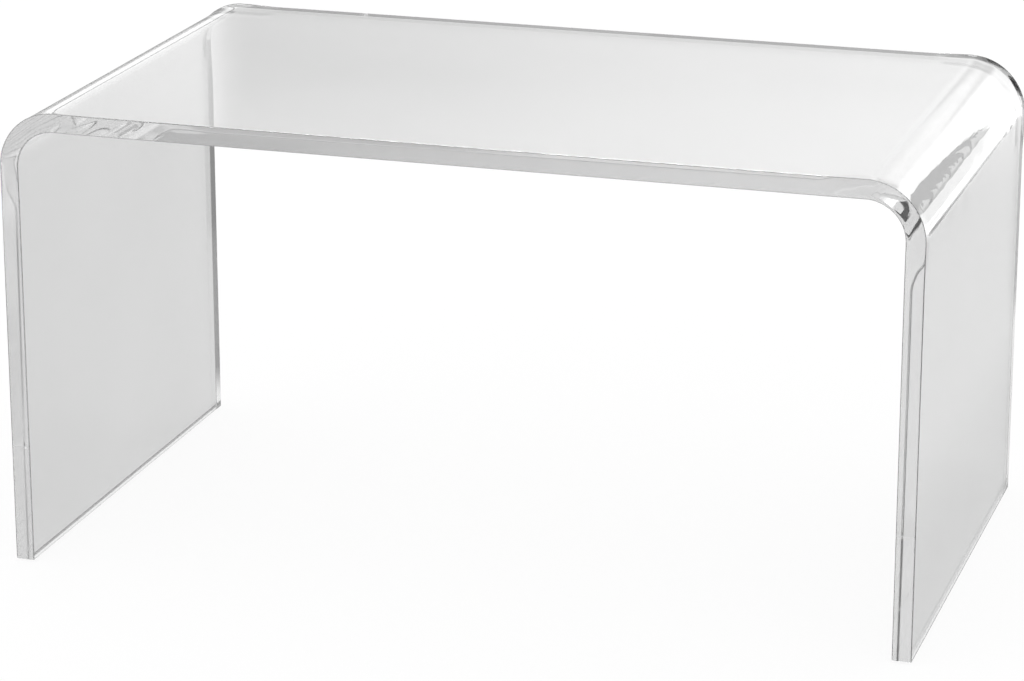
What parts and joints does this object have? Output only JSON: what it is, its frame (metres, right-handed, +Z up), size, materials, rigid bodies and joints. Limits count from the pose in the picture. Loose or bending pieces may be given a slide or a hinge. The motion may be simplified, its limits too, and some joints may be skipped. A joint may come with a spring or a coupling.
{
  "type": "waterfall side table",
  "caption": "Clear waterfall table: a thick acrylic sheet bent into an inverted U, giving a flat top and slab legs with polished edges, standing on small clear bumpers.",
  "frame": {"origin": "on the floor, under the middle of the top", "axes": "+X along the table's length, +Y from its front edge to its rear edge, +Z up"},
  "size_m": [0.914, 0.508, 0.466],
  "materials": {
    "clear_acrylic": "polished, clear",
    "clear_bumper": "satin, clear"
  },
  "bodies": {
    "root": {"bent_acrylic_sheet": "clear_acrylic", "left_front_bumper": "clear_bumper", "left_rear_bumper": "clear_bumper", "right_front_bumper": "clear_bumper", "right_rear_bumper": "clear_bumper"}
  },
  "joints": []
}
